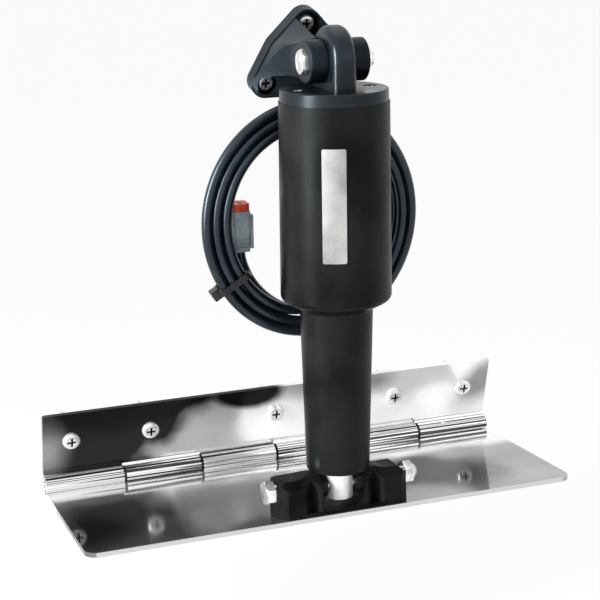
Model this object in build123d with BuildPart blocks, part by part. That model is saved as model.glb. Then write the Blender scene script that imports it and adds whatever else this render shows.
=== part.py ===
from build123d import *
import math
import os

os.makedirs("parts", exist_ok=True)

# A boat trim tab with its electric actuator, modelled at its real size in millimetres.
# The origin is the middle of the transom plate's back face, on the line of its screws.
# X runs along the hinge, Y towards the boat and Z up, with the blade lying level.

# Hinge plates
span = 304.8
sheet = 2.7
chord = 122.0
blade_corner_radius = 8.0
transom_rake = 16.5
plate_height = 48.0
plate_corner_radius = 1.5
screw_line_height = 29.0
pin_radius = 3.175
running_clearance = 0.05
knuckle_count = 6
knuckle_gap = 0.6
curl_slit = 0.5
leaf_relief = 0.8
pin_recess = 0.4

# Transom plate screws, a pan head with a plain neck in the plate
plate_screw_inset = 17.8
plate_screw_inner_inset = 68.6
plate_head_radius = 5.6
plate_head_height = 3.2
plate_screw_radius = 2.8
plate_neck_radius = 3.0
plate_neck_short = 0.1
plate_screw_length = 32.0
hole_clearance = 0.1
cross_width = 1.5
cross_length = 6.2
cross_depth = 1.8
cross_taper = 18

# Actuator, by its two pivots
actuator_offset = 3.0
pivot_setback = 108.0
pivot_height = 17.1
upper_pivot_height = 284.4
upper_pivot_standoff = 52.7
stroke = 57.0

# Actuator housing, a motor barrel above a tapered tube
tube_end_gap = 11.1
tube_end_radius = 18.6
tube_top_radius = 21.1
tube_bore_radius = 13.2
barrel_low_radius = 31.9
barrel_top_radius = 31.1
barrel_length = 112.4
barrel_wall = 3.2
barrel_floor = 5.0
shoulder_rise = 6.1
shoulder_radius = 4.0
shoulder_root_radius = 1.5
seal_seat_depth = 5.6
seal_radius = 12.0
seal_thickness = 4.8
seal_inset = 0.4

# Top cap with its eye lug
cap_thickness = 7.0
cap_radius = 30.5
cap_edge_radius = 0.8
cap_spigot_depth = 5.0
cap_pocket_radius = 15.5
cap_pocket_depth = 7.0
lug_height = 15.1
lug_radius = 19.3
lug_thickness = 14.2
lug_edge_radius = 5.0
o_ring_radius = 1.1
cap_screw_circle = 21.5
cap_screw_radius = 2.0
cap_screw_length = 20.0
cap_screw_head_radius = 3.6
cap_screw_head_height = 2.2
cap_screw_recess = 2.6
screw_post_radius = 3.8
screw_post_length = 26.0

# Ram, drive nut, drive screw and gear motor
ram_radius = 8.75
ram_end = 8.2
ram_bore_radius = 5.6
ram_solid_end = 36.0
drive_screw_radius = 4.75
drive_nut_radius = 12.6
drive_nut_length = 16.0
nut_to_bearing = 3.5
guide_bush_length = 20.0
bearing_radius = 13.0
bearing_thickness = 6.0
coupling_radius = 8.0
coupling_length = 14.0
gearbox_radius = 19.0
gearbox_length = 26.0
motor_radius = 17.3
motor_length = 58.0
motor_boss_radius = 6.0
motor_boss_height = 2.5
motor_bevel = 2.0
drive_gap = 1.0
foot_relief = 3.0
foot_inset = 6.0

# Pivot bolts and nuts, five sixteenths of an inch
bolt_radius = 3.97
bolt_flats = 12.7
bolt_head_height = 5.6
nut_height = 6.9
bolt_end = 1.6
eye_bush_radius = 5.4

# Lower bracket on the blade
bracket_half_width = 41.0
bracket_front_half_width = 35.5
bracket_front = 12.0
bracket_back = 18.0
bracket_height = 21.3
bracket_end_slope = 4.6
bracket_corner_cut = 5.0
bracket_boss_height = 22.6
bracket_boss_half_width = 22.0
bracket_ramp = 5.6
fork_half_width = 13.5
fork_floor = 1.8
fork_corner_radius = 5.0
groove_offset = 19.6
groove_width = 4.4
groove_depth = 5.0
bracket_edge_radius = 0.8
bracket_screw_x = 30.0
bracket_screw_y = 8.0
bracket_screw_radius = 2.4
bracket_screw_head_radius = 4.8
bracket_screw_length = 15.0
countersink_share = 0.9
countersink_taper = 44
spacer_radius = 7.0

# Upper bracket on the transom
upper_plate_thickness = 9.0
upper_screw_top = 7.0
upper_screw_low = -27.3
upper_screw_x = 23.0
upper_lobe_radius = 8.8
upper_side_bulge = 3.0
tent_step = 0.6
tent_swell = 1.6
tent_depth = 44.0
tent_top_radius = 4.0
tent_top_bulge = 8.6
underside = [(2.0, 4.0), (9.0, 16.6), (29.0, 22.9)]
ear_radius = 12.0
ear_half_width = 17.3
ear_root = 16.0
ear_root_radius = 7.5
ear_pocket_depth = 2.8
ear_edge_radius = 0.8
slot_half_width = 7.6
slot_radius = 20.8
scoop_inner_radius = 23.0
scoop_outer_radius = 44.0
scoop_reach = 17.0
scoop_step = 0.4
scoop_setback = 4.7
scoop_drop = 16.0
upper_screw_seat = 6.0
upper_pocket_radius = 6.2
upper_top_pocket_radius = 7.4
upper_head_radius = 4.75
upper_head_height = 2.8
upper_screw_radius = 2.4
upper_neck_radius = 2.6
upper_screw_length = 17.0

# Name plate, left bare
name_plate_width = 13.4
name_plate_length = 63.5
name_plate_angle = 22.0
name_plate_rise = 2.4
name_plate_thickness = 0.4

# Cable with its gland, coil, tie and two way connector
cable_diameter = 6.2
gland_x = 20.2
gland_below_cap = 57.8
gland_length = 18.0
gland_width = 15.0
gland_reach = 8.0
relief_length = 16.5
relief_root_radius = 5.6
relief_tip_radius = 4.2
coil_x = -1.5
coil_below_cap = 74.3
coil_half_width = 67.0
coil_half_height = 71.0
strands_in_front = 3
strands_behind = 2
coil_edge_cut = 2.2
lead_turns = [(0, -36.0), (-17.5, -56.6), (-44.2, -60.8)]
barrel_to_coil = 0.3
tie_angle = 213.0
tie_width = 3.6
tie_strap = 1.3
tie_head_length = 6.0
tie_head_height = 5.2
tie_head_width = 6.4
tie_slack = 0.1
tie_corner_radius = 2.1
connector_x = -42.6
connector_behind = 7.2
connector_below_coil = 17.0
connector_width = 11.0
connector_depth = 12.6
connector_length = 24.0
connector_collar = 0.4
connector_collar_length = 13.2
connector_corner_radius = 2.4
wedge_length = 4.6
wedge_hole_radius = 1.3
latch_width = 8.0
latch_thickness = 2.0
latch_length = 20.0
latch_rise = 1.5
tail_lean = 5.0
tail_length = 10.0

# Reference points and frames, worked out from the sizes above
rake = math.radians(transom_rake)
along_transom = Vector(0, -math.sin(rake), math.cos(rake))
off_transom = Vector(0, -math.cos(rake), -math.sin(rake))
knuckle_radius = pin_radius + running_clearance + sheet
knuckle_pitch = span / knuckle_count
hinge_point = off_transom * knuckle_radius - along_transom * screw_line_height
blade_bottom = hinge_point.Z - knuckle_radius
blade_top = blade_bottom + sheet
lower_pivot = Vector(actuator_offset, hinge_point.Y - pivot_setback, blade_bottom + pivot_height)
upper_foot = Vector(actuator_offset, 0, 0) + along_transom * (upper_pivot_height - screw_line_height)
upper_pivot = upper_foot + off_transom * upper_pivot_standoff
actuator_direction = (upper_pivot - lower_pivot).normalized()
actuator_back = Vector(0, actuator_direction.Z, -actuator_direction.Y)
pin_to_pin = (upper_pivot - lower_pivot).length
actuator_axis = Axis(lower_pivot, actuator_direction)
cap_top = pin_to_pin - lug_height
cap_seat = cap_top - cap_thickness
barrel_end = cap_seat - barrel_length
tube_end = tube_end_gap
cavity_radius = barrel_top_radius - barrel_wall
cavity_floor = barrel_end + barrel_floor
bearing_low = cavity_floor - bearing_thickness
ram_length = ram_end + bearing_low - nut_to_bearing - drive_nut_length
pin_hole_radius = bolt_radius + hole_clearance
name_plate_station = (barrel_end + cap_seat) / 2 + name_plate_rise
gland_station = cap_seat - gland_below_cap
coil_station = cap_seat - coil_below_cap
connector_base_station = coil_station - connector_below_coil

profile_plane = Plane(origin=lower_pivot, x_dir=(1, 0, 0), z_dir=actuator_back * -1)
transom_plane = Plane(origin=(0, 0, 0), x_dir=(1, 0, 0), z_dir=off_transom)
upper_plane = Plane(origin=upper_foot, x_dir=(1, 0, 0), z_dir=off_transom)
bracket_plane = Plane(origin=(actuator_offset, lower_pivot.Y, blade_top), x_dir=(1, 0, 0), z_dir=(0, 0, 1))
upper_side_plane = Plane(origin=upper_foot, x_dir=off_transom, z_dir=(-1, 0, 0))


def station_plane(station, x=0.0, back=0.0):
    """A plane across the actuator's axis, measured up from the lower pivot."""
    origin = lower_pivot + actuator_direction * station + actuator_back * back + Vector(x, 0, 0)
    return Plane(origin=origin, x_dir=(1, 0, 0), z_dir=actuator_direction)


def back_plane(x, back, station):
    """A plane that faces the transom, square to the actuator's back direction."""
    origin = lower_pivot + actuator_direction * station + actuator_back * back + Vector(x, 0, 0)
    return Plane(origin=origin, x_dir=(-1, 0, 0), z_dir=actuator_back)


def cross_plane(pivot, x=0.0):
    """A plane across a pivot's axis, its normal along X."""
    return Plane(origin=pivot + Vector(x, 0, 0), x_dir=actuator_back, z_dir=(1, 0, 0))


def save(part, name):
    """Label a finished piece and write it."""
    part.part.label = name
    export_step(part.part, "parts/" + name + ".step")


def turned(name, outline):
    """A piece turned about the actuator's axis from (radius, station) points."""
    with BuildPart() as piece:
        with BuildSketch(profile_plane):
            with BuildLine():
                Polyline(*outline, close=True)
            make_face()
        revolve(axis=actuator_axis)
    save(piece, name)


def ring(name, inner, outer, low, high):
    """A plain turned ring."""
    turned(name, [(inner, low), (outer, low), (outer, high), (inner, high)])


# Hinge leaves, rolled sheet with knuckles that interleave


def rolled_leaf(plane, leaf_length):
    """Sheet from the knuckles to its free edge, with every second knuckle rolled on it.

    The plane's x runs from the hinge axis along the leaf, and its y to the rolled side.
    """
    knuckle_length = knuckle_pitch - knuckle_gap
    leaf_start = knuckle_radius + leaf_relief
    with BuildPart() as leaf:
        with BuildSketch(plane):
            with Locations(((leaf_start + leaf_length) / 2, sheet / 2 - knuckle_radius)):
                Rectangle(leaf_length - leaf_start, sheet)
        extrude(amount=span)
        for start in range(0, knuckle_count, 2):
            with BuildSketch(plane.offset(start * knuckle_pitch + knuckle_gap / 2)):
                Circle(knuckle_radius)
                with Locations((leaf_start / 2, sheet / 2 - knuckle_radius)):
                    Rectangle(leaf_start, sheet)
                Circle(knuckle_radius - sheet, mode=Mode.SUBTRACT)
                with Locations((knuckle_radius / 2, sheet + curl_slit / 2 - knuckle_radius)):
                    Rectangle(knuckle_radius, curl_slit, mode=Mode.SUBTRACT)
            extrude(amount=knuckle_length)
    return leaf


transom_section = Plane(
    origin=hinge_point - Vector(span / 2, 0, 0), x_dir=along_transom, z_dir=(1, 0, 0)
)
blade_section = Plane(
    origin=hinge_point + Vector(span / 2, 0, 0), x_dir=(0, -1, 0), z_dir=(-1, 0, 0)
)
plate_screw_end_x = span / 2 - plate_screw_inset
plate_screw_inner_x = span / 2 - plate_screw_inner_inset
plate_screw_spots = [
    (-plate_screw_end_x, 0),
    (-plate_screw_inner_x, 0),
    (0, 0),
    (plate_screw_inner_x, 0),
    (plate_screw_end_x, 0),
]

rolled_transom_leaf = rolled_leaf(transom_section, plate_height)
with BuildPart() as transom_plate:
    add(rolled_transom_leaf.part)
    with BuildSketch(transom_plane):
        with Locations(*plate_screw_spots):
            Circle(plate_neck_radius + hole_clearance)
    extrude(amount=sheet, mode=Mode.SUBTRACT)
    top_corners = transom_plate.edges().filter_by(
        lambda edge: abs(edge.length - sheet) < 0.01
        and (edge.center().dot(along_transom)) > plate_height - screw_line_height - 1
    )
    fillet(top_corners, plate_corner_radius)
save(transom_plate, "transom_plate")

bracket_screw_spots = [
    (x * bracket_screw_x, y * bracket_screw_y) for x in (-1, 1) for y in (-1, 1)
]
rolled_blade = rolled_leaf(blade_section, chord)
with BuildPart() as tab_blade:
    add(rolled_blade.part)
    with BuildSketch(bracket_plane):
        with Locations(*bracket_screw_spots):
            Circle(bracket_screw_radius + hole_clearance)
    extrude(amount=-sheet, mode=Mode.SUBTRACT)
    with BuildSketch(bracket_plane.offset(-sheet)) as countersinks:
        with Locations(*bracket_screw_spots):
            Circle(bracket_screw_head_radius + hole_clearance)
    extrude(amount=sheet * countersink_share, taper=countersink_taper, mode=Mode.SUBTRACT)
    front_corners = tab_blade.edges().filter_by(Axis.Z).filter_by(
        lambda edge: edge.center().Y < hinge_point.Y - chord + 1
    )
    fillet(front_corners, blade_corner_radius)
save(tab_blade, "tab_blade")

with BuildPart() as hinge_pin:
    with BuildSketch(transom_section.offset(knuckle_gap / 2 + pin_recess)):
        Circle(pin_radius)
    extrude(amount=span - knuckle_gap - 2 * pin_recess)
    chamfer(hinge_pin.edges(), 0.5)
save(hinge_pin, "hinge_pin")


# Screws with a cross recess


def cross_screw(plane, spot, head_radius, head_height, neck_radius, neck_length, radius, length):
    """A pan head screw: its head above the plane, a neck in the plate, the thread below."""
    middle = plane.from_local_coords((spot[0], spot[1], 0))
    seat = Plane(origin=middle, x_dir=plane.x_dir, z_dir=plane.z_dir)
    with BuildPart() as screw:
        with BuildSketch(seat):
            Circle(head_radius)
        extrude(amount=head_height)
        rim = screw.edges().sort_by(lambda edge: seat.to_local_coords(edge.center()).Z)[-1]
        fillet(rim, head_height * 0.7)
        with BuildSketch(seat):
            Circle(neck_radius)
        extrude(amount=-neck_length)
        with BuildSketch(seat.offset(-neck_length)):
            Circle(radius)
        extrude(amount=-(length - neck_length))
        with BuildSketch(seat.offset(head_height)):
            Rectangle(cross_length, cross_width)
            Rectangle(cross_width, cross_length)
        extrude(amount=-cross_depth, taper=cross_taper, mode=Mode.SUBTRACT)
    return screw.part


with BuildPart() as transom_screws:
    for spot in plate_screw_spots:
        add(
            cross_screw(
                transom_plane.offset(sheet),
                spot,
                plate_head_radius,
                plate_head_height,
                plate_neck_radius,
                sheet - plate_neck_short,
                plate_screw_radius,
                plate_screw_length,
            )
        )
save(transom_screws, "transom_screws")

# Lower bracket, a moulded fork that holds the ram's eye

with BuildPart() as lower_bracket:
    with BuildSketch(bracket_plane):
        with BuildLine():
            Polyline(
                (-bracket_front_half_width, -bracket_front),
                (bracket_front_half_width, -bracket_front),
                (bracket_half_width, -bolt_flats / 2),
                (bracket_half_width, bolt_flats / 2),
                (bracket_front_half_width, bracket_back),
                (-bracket_front_half_width, bracket_back),
                (-bracket_half_width, bolt_flats / 2),
                (-bracket_half_width, -bolt_flats / 2),
                close=True,
            )
        make_face()
    extrude(amount=bracket_boss_height)
    with BuildSketch(Plane(origin=bracket_plane.origin, x_dir=(1, 0, 0), z_dir=(0, -1, 0))):
        with BuildLine():
            Polyline(
                (-bracket_half_width, 0),
                (bracket_half_width, 0),
                (bracket_half_width, bracket_height - bracket_corner_cut),
                (bracket_half_width - bracket_corner_cut, bracket_height),
                (bracket_boss_half_width + bracket_ramp, bracket_height),
                (bracket_boss_half_width, bracket_boss_height),
                (-bracket_boss_half_width, bracket_boss_height),
                (-bracket_boss_half_width - bracket_ramp, bracket_height),
                (-bracket_half_width + bracket_corner_cut, bracket_height),
                (-bracket_half_width, bracket_height - bracket_corner_cut),
                close=True,
            )
        make_face()
    extrude(amount=bracket_back + bracket_front, both=True, mode=Mode.INTERSECT)
    with BuildSketch(Plane(origin=bracket_plane.origin, x_dir=(0, 1, 0), z_dir=(1, 0, 0))):
        with BuildLine():
            Polyline(
                (-bracket_front, 0),
                (bracket_back, 0),
                (bracket_back, bracket_height - bracket_end_slope),
                (bolt_flats / 2, bracket_boss_height),
                (-bolt_flats / 2 + 2, bracket_boss_height),
                (-bracket_front, bracket_height - bracket_end_slope),
                close=True,
            )
        make_face()
    extrude(amount=bracket_half_width, both=True, mode=Mode.INTERSECT)
    above_blade = lower_bracket.edges().filter_by(lambda edge: edge.center().Z > blade_top + 1)
    fillet(above_blade, bracket_edge_radius)
    with BuildSketch(Plane(origin=bracket_plane.origin, x_dir=(1, 0, 0), z_dir=(0, -1, 0))) as fork:
        with Locations((0, fork_floor)):
            Rectangle(
                2 * fork_half_width, bracket_boss_height, align=(Align.CENTER, Align.MIN)
            )
        fillet(fork.vertices().group_by(Axis.Y)[0], fork_corner_radius)
    extrude(amount=bracket_back + bracket_front, both=True, mode=Mode.SUBTRACT)
    with BuildSketch(bracket_plane.offset(fork_floor)):
        for side in (-1, 1):
            for face in (-bracket_front, bracket_back):
                with Locations((side * groove_offset, face)):
                    RegularPolygon(groove_depth, 4)
    extrude(amount=bracket_boss_height, mode=Mode.SUBTRACT)
    with BuildSketch(cross_plane(lower_pivot)):
        Circle(pin_hole_radius)
    extrude(amount=bracket_half_width, both=True, mode=Mode.SUBTRACT)
    with BuildSketch(bracket_plane):
        with Locations(*bracket_screw_spots):
            Circle(bracket_screw_radius + hole_clearance)
    extrude(amount=bracket_screw_length - sheet + 1, mode=Mode.SUBTRACT)
save(lower_bracket, "lower_bracket")

with BuildPart() as lower_bracket_screws:
    for spot in bracket_screw_spots:
        head_plane = Plane(
            origin=bracket_plane.from_local_coords((spot[0], spot[1], -sheet)),
            x_dir=(1, 0, 0),
            z_dir=(0, 0, 1),
        )
        with BuildSketch(head_plane):
            Circle(bracket_screw_head_radius)
        extrude(amount=sheet * countersink_share, taper=countersink_taper)
        with BuildSketch(head_plane):
            Circle(bracket_screw_radius)
        extrude(amount=bracket_screw_length)
        with BuildSketch(head_plane):
            Rectangle(cross_length * 0.8, cross_width)
            Rectangle(cross_width, cross_length * 0.8)
        extrude(amount=cross_depth, taper=cross_taper, mode=Mode.SUBTRACT)
save(lower_bracket_screws, "lower_bracket_screws")


# Pivot bolts and nuts


def pivot_bolt(name, pivot, head_face, nut_face):
    """A hex bolt along X: head on the -X face, and an end that passes the nut."""
    shank_end = nut_face + nut_height + bolt_end
    with BuildPart() as bolt:
        with BuildSketch(cross_plane(pivot, head_face - bolt_head_height)):
            RegularPolygon(bolt_flats / 2, 6, major_radius=False, rotation=30)
        extrude(amount=bolt_head_height)
        with BuildSketch(cross_plane(pivot, head_face - bolt_head_height)):
            Circle(bolt_flats / 2 * 1.03)
        extrude(amount=bolt_head_height, taper=-30, mode=Mode.INTERSECT)
        with BuildSketch(cross_plane(pivot, head_face)):
            Circle(bolt_radius)
        extrude(amount=shank_end - head_face)
        tip = bolt.edges().sort_by(Axis.X)[-1]
        chamfer(tip, 0.7)
    save(bolt, name)


def pivot_nut(name, pivot, face):
    """A hex lock nut with a domed collar, seated on the +X face."""
    collar = nut_height * 0.28
    with BuildPart() as nut:
        with BuildSketch(cross_plane(pivot, face)):
            RegularPolygon(bolt_flats / 2, 6, major_radius=False, rotation=30)
        extrude(amount=nut_height - collar)
        with BuildSketch(cross_plane(pivot, face + nut_height - collar)):
            Circle(bolt_flats / 2 - 0.7)
        extrude(amount=collar)
        rim = nut.edges().filter_by(GeomType.CIRCLE).sort_by(Axis.X)[-1]
        fillet(rim, collar * 0.7)
        with BuildSketch(cross_plane(pivot, face)):
            Circle(bolt_radius + hole_clearance / 2)
        extrude(amount=nut_height, mode=Mode.SUBTRACT)
    save(nut, name)


pivot_bolt("lower_pivot_bolt", lower_pivot, -bracket_half_width, bracket_half_width)
pivot_nut("lower_pivot_nut", lower_pivot, bracket_half_width)

with BuildPart() as lower_pivot_spacers:
    for side in (-1, 1):
        inner_face = ram_radius + hole_clearance
        outer_face = fork_half_width - hole_clearance
        with BuildSketch(cross_plane(lower_pivot, side * (inner_face + outer_face) / 2)):
            Circle(spacer_radius)
            Circle(pin_hole_radius, mode=Mode.SUBTRACT)
        extrude(amount=(outer_face - inner_face) / 2, both=True)
save(lower_pivot_spacers, "lower_pivot_spacers")

# Ram with its eye, bush and drive nut

ram_top = ram_length - ram_end
with BuildPart() as ram:
    with BuildSketch(station_plane(-ram_end)):
        Circle(ram_radius)
    extrude(amount=ram_length)
    with BuildSketch(station_plane(ram_solid_end)):
        Circle(ram_bore_radius)
    extrude(amount=ram_length, mode=Mode.SUBTRACT)
    with BuildSketch(cross_plane(lower_pivot)):
        Circle(eye_bush_radius)
    extrude(amount=2 * ram_radius, both=True, mode=Mode.SUBTRACT)
    foot = ram.edges().filter_by(GeomType.CIRCLE).sort_by(actuator_axis)[0]
    chamfer(foot, 0.6)
save(ram, "ram")

with BuildPart() as ram_eye_bush:
    with BuildSketch(cross_plane(lower_pivot)):
        Circle(eye_bush_radius - hole_clearance / 2)
        Circle(bolt_radius + running_clearance, mode=Mode.SUBTRACT)
    extrude(amount=math.sqrt(ram_radius**2 - eye_bush_radius**2), both=True)
save(ram_eye_bush, "ram_eye_bush")

ring(
    "drive_nut",
    drive_screw_radius + running_clearance,
    drive_nut_radius,
    ram_top,
    ram_top + drive_nut_length,
)

# Actuator housing, one moulding of motor barrel and tapered tube

with BuildPart() as actuator_housing:
    with BuildSketch(profile_plane) as housing_profile:
        with BuildLine():
            Polyline(
                (seal_radius, tube_end),
                (tube_end_radius, tube_end),
                (tube_top_radius, barrel_end - shoulder_rise),
                (barrel_low_radius, barrel_end),
                (barrel_top_radius, cap_seat),
                (cavity_radius, cap_seat),
                (cavity_radius, cavity_floor),
                (tube_bore_radius, cavity_floor),
                (tube_bore_radius, tube_end + seal_seat_depth),
                (seal_radius, tube_end + seal_seat_depth),
                close=True,
            )
        make_face()
        corners = housing_profile.vertices()
        fillet(corners.sort_by_distance((barrel_low_radius, barrel_end))[0], shoulder_radius)
        corners = housing_profile.vertices()
        root = corners.sort_by_distance((tube_top_radius, barrel_end - shoulder_rise))[0]
        fillet(root, shoulder_root_radius)
    revolve(axis=actuator_axis)
    post_top = cap_seat - cap_spigot_depth - 2 * hole_clearance
    with BuildSketch(station_plane(post_top)):
        for side in (-1, 1):
            with Locations((side * cap_screw_circle, 0)):
                Circle(screw_post_radius)
            with Locations((side * (cap_screw_circle + cavity_radius) / 2, 0)):
                Rectangle(cavity_radius - cap_screw_circle + 1, 2 * screw_post_radius)
    extrude(amount=-screw_post_length)
    with BuildSketch(station_plane(post_top)):
        with Locations((-cap_screw_circle, 0), (cap_screw_circle, 0)):
            Circle(cap_screw_radius + hole_clearance)
    extrude(amount=-cap_screw_length, mode=Mode.SUBTRACT)
save(actuator_housing, "actuator_housing")

ring(
    "wiper_seal",
    ram_radius + running_clearance,
    seal_radius - hole_clearance,
    tube_end + seal_inset,
    tube_end + seal_inset + seal_thickness,
)
ring(
    "guide_bush",
    ram_radius + running_clearance,
    tube_bore_radius - hole_clearance,
    tube_end + seal_seat_depth + hole_clearance,
    tube_end + seal_seat_depth + guide_bush_length,
)

# Top cap with its eye lug, screws, seal and eye bush

groove_low = cap_seat - cap_spigot_depth / 2 - o_ring_radius - 0.1
groove_high = cap_seat - cap_spigot_depth / 2 + o_ring_radius + 0.1
spigot_radius = cavity_radius - hole_clearance
groove_root = spigot_radius - 2 * o_ring_radius
with BuildPart() as top_cap:
    with BuildSketch(profile_plane) as cap_profile:
        with BuildLine():
            Polyline(
                (0, cap_top),
                (cap_radius, cap_top),
                (cap_radius, cap_seat),
                (spigot_radius, cap_seat),
                (spigot_radius, groove_high),
                (groove_root, groove_high),
                (groove_root, groove_low),
                (spigot_radius, groove_low),
                (spigot_radius, cap_seat - cap_spigot_depth),
                (cap_pocket_radius, cap_seat - cap_spigot_depth),
                (cap_pocket_radius, cap_seat - cap_spigot_depth + cap_pocket_depth),
                (0, cap_seat - cap_spigot_depth + cap_pocket_depth),
                close=True,
            )
        make_face()
        fillet(cap_profile.vertices().sort_by_distance((cap_radius, cap_top))[0], cap_edge_radius)
    revolve(axis=actuator_axis)
    with BuildSketch(cross_plane(upper_pivot)):
        Circle(lug_radius)
        with Locations((0, -lug_height - 1)):
            Rectangle(2 * lug_radius, lug_height + 1, align=(Align.CENTER, Align.MIN))
    extrude(amount=lug_thickness / 2, both=True)
    rims = top_cap.edges().filter_by(
        lambda edge: abs(abs(edge.center().X - upper_pivot.X) - lug_thickness / 2) < 0.01
        and edge.length > lug_height - 1
        and (edge.center() - upper_pivot).dot(actuator_direction) > -lug_height + 1
    )
    fillet(rims, lug_edge_radius)
    with BuildSketch(cross_plane(upper_pivot)):
        Circle(eye_bush_radius)
    extrude(amount=lug_thickness, both=True, mode=Mode.SUBTRACT)
    with BuildSketch(station_plane(cap_top)):
        with Locations((-cap_screw_circle, 0), (cap_screw_circle, 0)):
            Circle(cap_screw_radius + hole_clearance)
    extrude(amount=-(cap_thickness + cap_spigot_depth), mode=Mode.SUBTRACT)
    with BuildSketch(station_plane(cap_top)):
        with Locations((-cap_screw_circle, 0), (cap_screw_circle, 0)):
            Circle(cap_screw_head_radius + 3 * hole_clearance)
    extrude(amount=-cap_screw_recess, mode=Mode.SUBTRACT)
save(top_cap, "top_cap")

with BuildPart() as cap_screws:
    for side in (-1, 1):
        add(
            cross_screw(
                station_plane(cap_top - cap_screw_recess),
                (side * cap_screw_circle, 0),
                cap_screw_head_radius,
                cap_screw_head_height,
                cap_screw_radius,
                cap_thickness,
                cap_screw_radius,
                cap_screw_length,
            )
        )
save(cap_screws, "cap_screws")

with BuildPart() as cap_seal:
    with BuildSketch(profile_plane):
        with Locations((groove_root + o_ring_radius, cap_seat - cap_spigot_depth / 2)):
            Circle(o_ring_radius - 0.02)
    revolve(axis=actuator_axis)
save(cap_seal, "cap_seal")

with BuildPart() as upper_eye_bush:
    with BuildSketch(cross_plane(upper_pivot)):
        Circle(eye_bush_radius - hole_clearance / 2)
        Circle(bolt_radius + running_clearance, mode=Mode.SUBTRACT)
    extrude(amount=lug_thickness / 2, both=True)
save(upper_eye_bush, "upper_eye_bush")

# Motor, gearbox, coupling, thrust bearing and drive screw inside the housing

coupling_low = cavity_floor + drive_gap
coupling_middle = coupling_low + coupling_length / 2
coupling_high = coupling_low + coupling_length
gearbox_low = coupling_high + drive_gap
foot_radius = cavity_radius - foot_inset
gearbox_high = gearbox_low + gearbox_length
motor_high = gearbox_high + motor_length
ring(
    "thrust_bearing",
    drive_screw_radius + running_clearance,
    tube_bore_radius - hole_clearance,
    bearing_low,
    cavity_floor,
)
turned(
    "gearbox",
    [
        (0, gearbox_low + foot_relief),
        (coupling_radius + drive_gap, gearbox_low + foot_relief),
        (coupling_radius + drive_gap, cavity_floor),
        (foot_radius, cavity_floor),
        (foot_radius, gearbox_low),
        (gearbox_radius, gearbox_low),
        (gearbox_radius, gearbox_high),
        (0, gearbox_high),
    ],
)
turned(
    "motor",
    [
        (0, gearbox_high),
        (motor_radius, gearbox_high),
        (motor_radius, motor_high - motor_bevel),
        (motor_radius - motor_bevel, motor_high),
        (motor_boss_radius, motor_high),
        (motor_boss_radius, motor_high + motor_boss_height),
        (0, motor_high + motor_boss_height),
    ],
)
ring(
    "motor_cushion",
    motor_boss_radius + hole_clearance,
    cap_pocket_radius - 5 * hole_clearance,
    motor_high,
    cap_seat - cap_spigot_depth + cap_pocket_depth,
)
turned(
    "drive_screw",
    [
        (0, ram_solid_end + 2 * drive_gap),
        (drive_screw_radius - drive_gap, ram_solid_end + 2 * drive_gap),
        (drive_screw_radius, ram_solid_end + 3 * drive_gap),
        (drive_screw_radius, coupling_middle),
        (0, coupling_middle),
    ],
)
turned(
    "screw_coupling",
    [
        (drive_screw_radius, coupling_low),
        (coupling_radius, coupling_low),
        (coupling_radius, coupling_high),
        (0, coupling_high),
        (0, coupling_middle),
        (drive_screw_radius, coupling_middle),
    ],
)

# Upper bracket, a moulded triangle whose scooped sides rise to two ears


def outline_circles(top, low, reach, bulge):
    """Centres of the five circles whose hull is the bracket's outline at one depth."""
    slope = math.hypot(reach, top - low)
    middle_x = reach / 2 + bulge * (top - low) / slope
    middle_y = (top + low) / 2 + bulge * reach / slope
    right = [(middle_x, middle_y), (reach, low)]
    return [(0, top)] + right + [(-x, y) for x, y in right]


upper_spots = [
    (0, upper_screw_top),
    (-upper_screw_x, upper_screw_low),
    (upper_screw_x, upper_screw_low),
]
upper_high = upper_screw_top + upper_lobe_radius
upper_low = upper_screw_low - upper_lobe_radius
ear_top = ear_radius - tent_top_radius
ear_side = ear_half_width - tent_step - tent_top_radius
plinth_circles = outline_circles(upper_screw_top, upper_screw_low, upper_screw_x, upper_side_bulge)
tent_sections = [
    (upper_plate_thickness, plinth_circles, upper_lobe_radius - tent_step),
    (
        (upper_plate_thickness + tent_depth) / 2,
        outline_circles(
            (upper_screw_top + ear_top) / 2 + tent_swell / 2,
            (upper_screw_low - ear_top) / 2 - tent_swell,
            (upper_screw_x + ear_side) / 2 + tent_swell,
            (upper_side_bulge + tent_top_bulge) / 2,
        ),
        (upper_lobe_radius - tent_step + tent_top_radius) / 2,
    ),
    (tent_depth, outline_circles(ear_top, -ear_top, ear_side, tent_top_bulge), tent_top_radius),
]
with BuildPart() as ear_block:
    with BuildSketch(upper_side_plane):
        with Locations((upper_pivot_standoff, 0)):
            Circle(ear_radius)
        with Locations((upper_pivot_standoff - ear_root, ear_root_radius - ear_radius)):
            Circle(ear_root_radius)
        make_hull()
    extrude(amount=ear_half_width, both=True)
    fillet(ear_block.faces().filter_by(Axis.X).edges(), ear_edge_radius)
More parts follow.
